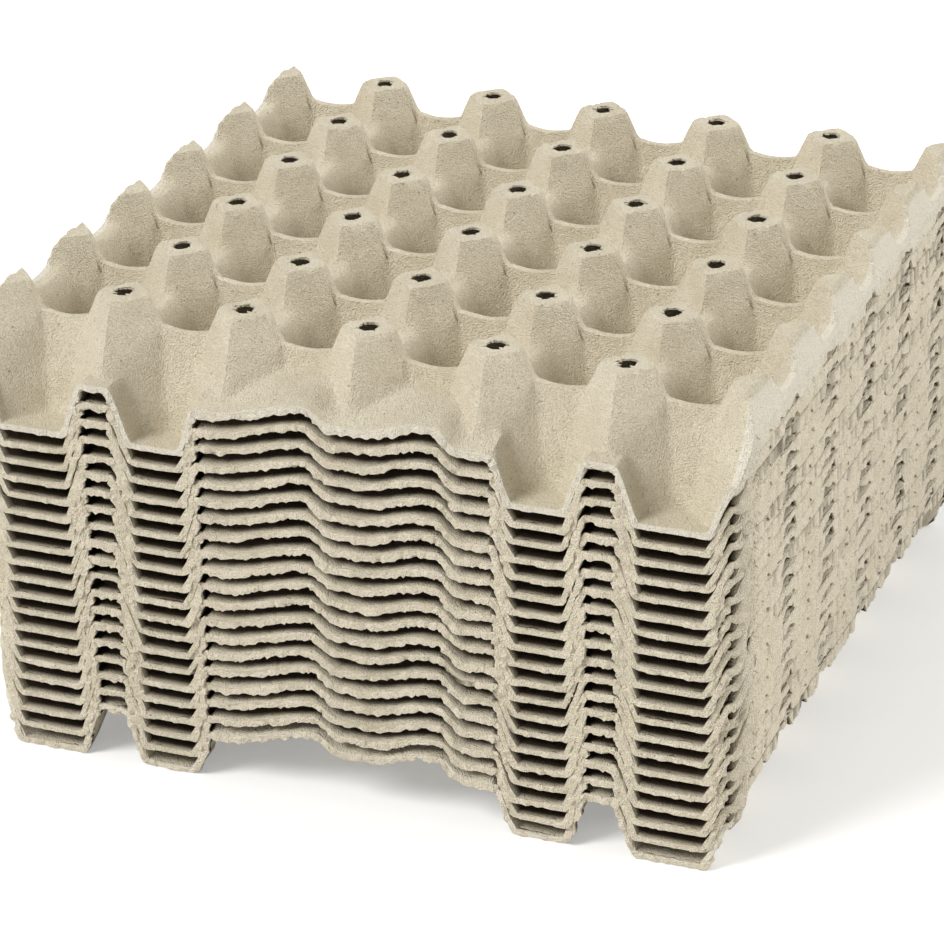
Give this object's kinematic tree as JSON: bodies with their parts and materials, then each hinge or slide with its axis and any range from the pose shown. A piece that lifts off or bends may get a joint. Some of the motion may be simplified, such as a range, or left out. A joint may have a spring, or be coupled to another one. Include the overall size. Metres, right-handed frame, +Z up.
{
  "type": "stack of egg trays",
  "caption": "Square stack of nested moulded pulp egg trays, with rows of pockets between hollow four-sided posts.",
  "frame": {"origin": "middle of the footprint, on the surface that the bottom tray's feet stand on", "axes": "+X along the front edge, along the rows of six pockets; +Y into the depth, away from the front edge; +Z up"},
  "size_m": [0.293, 0.2948, 0.1754],
  "materials": {
    "pulp": "matt, fibrous"
  },
  "bodies": {
    "root": {"tray_01": "pulp", "tray_02": "pulp", "tray_03": "pulp", "tray_04": "pulp", "tray_05": "pulp", "tray_06": "pulp", "tray_07": "pulp", "tray_08": "pulp", "tray_09": "pulp", "tray_10": "pulp", "tray_11": "pulp", "tray_12": "pulp", "tray_13": "pulp", "tray_14": "pulp", "tray_15": "pulp", "tray_16": "pulp", "tray_17": "pulp", "tray_18": "pulp", "tray_19": "pulp", "tray_20": "pulp"}
  },
  "joints": []
}
